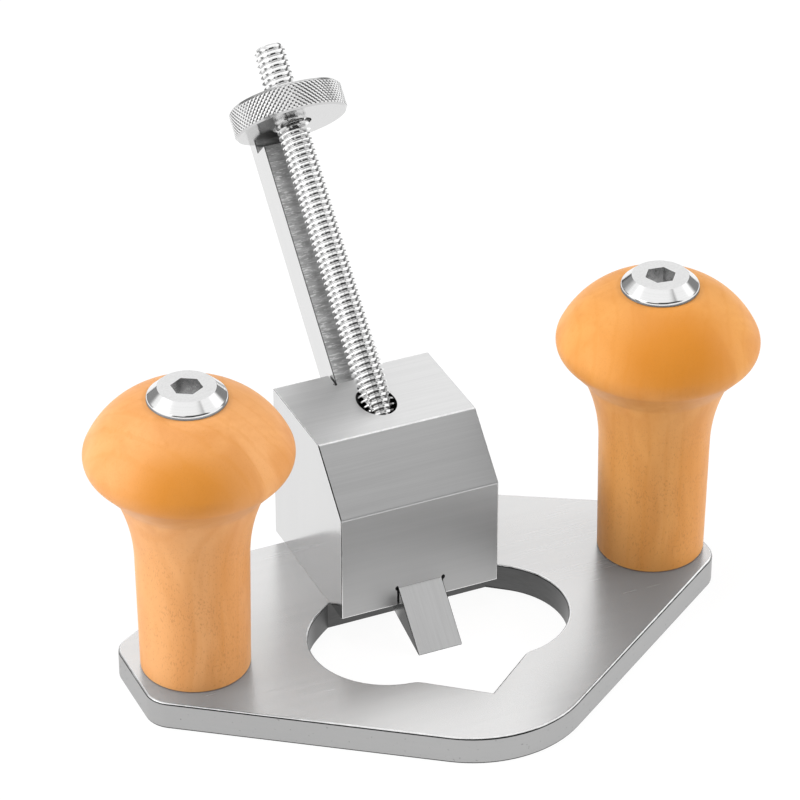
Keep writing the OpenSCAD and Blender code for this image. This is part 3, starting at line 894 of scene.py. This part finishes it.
def lacqueredWood(name, centre, warmth, patch, pith, paintedReflectionTone):
    # Close-grained pale wood under a thin coat of lacquer
    w = wood
    graph = Graph(bpy.data.materials.new(name))
    fibre = graph.noise(graph.place(centre, grain=grains(w["fibre"])), 1, 3, 0.6)
    figure = graph.noise(graph.place(centre, grain=grains(w["figure"])), 1, 3, 0.55, 0.6)
    mottle = graph.noise(graph.place(centre), w["mottle"], 3, 0.6)
    x, y, z = graph.axes(graph.place(centre))
    away = ((x - pith[0]) * (x - pith[0]) + (y - pith[1]) * (y - pith[1])) ** 0.5
    rings = graph.within(away.maths("SINE", (away + w["ringSway"] * figure) * w["rings"]), 0.55, 1.0)
    px, py, pz = [axis - spot for axis, spot in zip((x, y, z), patch[:3])]
    near = (px * px + py * py + pz * pz * w["patchFlat"]) ** 0.5
    reach = patch[3]
    deep = 1 - graph.within(near + w["patchSway"] * (figure - 0.5), reach * w["patchCore"], reach)
    pale, tan, brown = [tuple(c * t for c, t in zip(w[tone], warmth)) for tone in ("pale", "tan", "brown")]
    colour = graph.mixed(graph.within(figure, 0.3, 0.72), pale, tan)
    # Short dark fibres, most of them on the stem
    flecks = graph.noise(graph.place(centre, grain=grains(w["fleck"])), 1, 2, 0.6)
    worn = graph.noise(graph.place(centre), w["wear"], 2, 0.5)
    stem = 1 - graph.within(z, w["stemTop"], w["headFoot"])
    flecks = graph.within(flecks + 0.25 * (worn - 0.5), 0.54, 0.7) * (0.08 + 0.2 * stem)
    streaks = graph.within(fibre * 0.6 + mottle * 0.4, 0.5, 0.75)
    colour = graph.mixed(deep * 0.85, colour, brown)
    colour = graph.mixed(rings * 0.12, colour, brown)
    colour = graph.mixed(streaks * 0.2, colour, brown)
    colour = graph.mixed(flecks, colour, w["fleckTone"])
    # Steel mirrors the wood as a neutral grey, as in the photograph
    # Painted reflection: a flat grey tone for each handle stands in for the wood's image in steel
    rays = graph.node("ShaderNodeLightPath").socket.node.outputs
    colour = graph.mixed(Wire(graph, rays["Is Glossy Ray"]), colour, grey(paintedReflectionTone))
    return graph.surface({
        "Base Color": colour,
        "Roughness": 0.42 + 0.12 * mottle,
        "Specular IOR Level": 0.25,
        "Coat Weight": 0.12,
        "Coat Roughness": 0.25,
        "Normal": graph.bump(fibre * 0.5 + mottle * 0.5, 0.02 * mm),
    })


woods = {
    # node: colour cast, the deeper patch, the pith, the tone in steel, a painted reflection
    # A patch is its place and its reach, a pith its X and Y, all from the foot's centre
    "left_handle": ((1.0, 1.0, 1.0), (-0.009, -0.020, 0.060, 0.019), (0.05, 0.03), 0.24),
    "right_handle": ((0.97, 0.93, 0.7), (-0.006, -0.021, 0.065, 0.023), (-0.06, 0.02), 0.16),
}


def makeHandle(node):
    low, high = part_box(node)
    centre = ((low[0] + high[0]) / 2, (low[1] + high[1]) / 2, low[2])
    bm = spun(handleOutline((high[2] - low[2]) / mm), handle["steps"], centre)
    looks = [lacqueredWood(node + "Wood", centre, *woods[node])]
    finish(node + "_turned", bm, looks, node, handle["sharp"])


for node in woods:
    makeHandle(node)
print("handles made")


# Flanged bolts of the handles, in mm, heights from the flange's seat
bolt = {
    "shank": 3.97, "barrel": 5, "barrelDepth": 7,
    "flange": 9.1, "edgeHeight": 1, "height": 3.3, "top": 6.6,
    "rimRound": 0.8, "topRound": 0.12,
    "rimSteps": 4, "topSteps": 3,
    "bevel": 0.15,  # under the flange's rim
    "across": 6.35, "depth": 5,  # the socket's
    "axisGap": 0.001,  # radius of the hole in the foot until it is filled
    "slack": 0.01,  # of the heights in the tests for looks
    "topShare": 0.98,  # least share of the top's normal along Z
    "socketShare": 0.6,  # faces within this share of the socket's width are in it
    "bevelTone": 0.86, "topTone": 0.82, "socketTone": 0.68,
    "sharp": 25,
    "steps": 96,
    "turns": {"left_handle_bolt": 0, "right_handle_bolt": 22},  # of the socket, in degrees
    "topLook": 1, "socketLook": 2,  # places in the list of looks, the bevel being 0
}


def makeBolt(node):
    b = bolt
    low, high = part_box(node)
    seat = high[2] / mm - b["height"]
    foot = low[2] / mm - seat
    slope = math.degrees(math.atan2(b["height"] - b["edgeHeight"], b["flange"] - b["top"]))
    rim, crown = b["rimRound"], b["topRound"]
    # Each rounding is tangent to the faces on either side of its corner
    rimDrop = rim * math.tan(math.radians((90 - slope) / 2))
    crownRun = crown * math.tan(math.radians(slope / 2))
    outline = [(b["axisGap"], foot), (b["shank"], foot), (b["shank"], -b["barrelDepth"])]
    outline += [(b["barrel"], -b["barrelDepth"]), (b["barrel"], 0)]
    outline += [(b["flange"] - b["bevel"], 0), (b["flange"], b["bevel"])]
    outline += arc(b["flange"] - rim, b["edgeHeight"] - rimDrop, rim, 0, 90 - slope, b["rimSteps"])
    outline += arc(b["top"] - crownRun, b["height"] - crown, crown, 90 - slope, 90, b["topSteps"])
    bm = spun([(r * mm, z * mm) for r, z in outline], b["steps"], closed=False)
    ring = [edge for edge in bm.edges if edge.is_boundary and edge.verts[0].co.z > 0]
    # The socket's hexagon is joined to the open ring of the top
    reach = b["across"] / 2 / math.cos(math.radians(30)) * mm
    hexagon = bmesh.ops.create_circle(bm, segments=6, radius=reach)["verts"]
    bmesh.ops.rotate(bm, verts=hexagon, matrix=Matrix.Rotation(math.radians(b["turns"][node]), 3, "Z"))
    bmesh.ops.translate(bm, verts=hexagon, vec=(0, 0, b["height"] * mm))
    sides = list(set(edge for vert in hexagon for edge in vert.link_edges))
    bmesh.ops.subdivide_edges(bm, edges=sides, cuts=b["steps"] // 6 - 1)
    sides = [edge for edge in bm.edges if edge.is_wire]
    bmesh.ops.bridge_loops(bm, edges=ring + sides)
    wall = bmesh.ops.extrude_edge_only(bm, edges=sides)["geom"]
    bottom = [part for part in wall if isinstance(part, bmesh.types.BMVert)]
    bmesh.ops.translate(bm, verts=bottom, vec=(0, 0, -b["depth"] * mm))
    # Closes the socket's bottom, then the foot
    openEdges = [edge for edge in bm.edges if edge.is_boundary]
    bmesh.ops.edgeloop_fill(bm, edges=[edge for edge in openEdges if edge.verts[0].co.z > foot * mm / 2])
    bmesh.ops.edgeloop_fill(bm, edges=[edge for edge in bm.edges if edge.is_boundary])
    bmesh.ops.recalc_face_normals(bm, faces=bm.faces)
    topLevel = (b["height"] - b["slack"]) * mm
    socketFloor = (b["height"] - b["depth"] - b["slack"]) * mm
    for face in bm.faces:
        middle = face.calc_center_median()
        if face.normal.z > b["topShare"] and middle.z > topLevel:
            face.material_index = b["topLook"]
        elif middle.xy.length < b["across"] * b["socketShare"] * mm and middle.z > socketFloor:
            face.material_index = b["socketLook"]
    centre = ((low[0] + high[0]) / 2, (low[1] + high[1]) / 2, seat * mm)
    bmesh.ops.translate(bm, verts=bm.verts, vec=centre)
    looks = [
        turned(node + "Bevel", centre, b["bevelTone"], 0.1, 3, contrast=0.02, depth=0.0004),
        plainMetal(node + "Top", grey(b["topTone"]), 0.42, 2600, 0.05),
        plainMetal(node + "Socket", grey(b["socketTone"]), 0.2, 900, 0.12),
    ]
    finish(node + "_cap", bm, looks, node, b["sharp"])


for node in bolt["turns"]:
    makeBolt(node)
print("bolts made")


# Small screws and the clamp pad keep their CAD shape
smallPieces = {
    # material: colour, roughness, its nodes
    "blackSteel": (grey(0.06), 0.4, [
        "block_screw_front_left", "block_screw_front_right", "block_screw_rear_left",
        "block_screw_rear_right", "clamp_screw", "rod_set_screw",
    ]),
    "brass": ((0.75, 0.5, 0.2), 0.28, ["clamp_pad"]),
}


def paintSmallPieces():
    for name, (colour, roughness, nodes) in smallPieces.items():
        look = plainMetal(name, colour, roughness)
        for node in nodes:
            mesh = frame["nodes"][node].data
            mesh.materials.clear()
            mesh.materials.append(look)


paintSmallPieces()
print("small pieces painted")
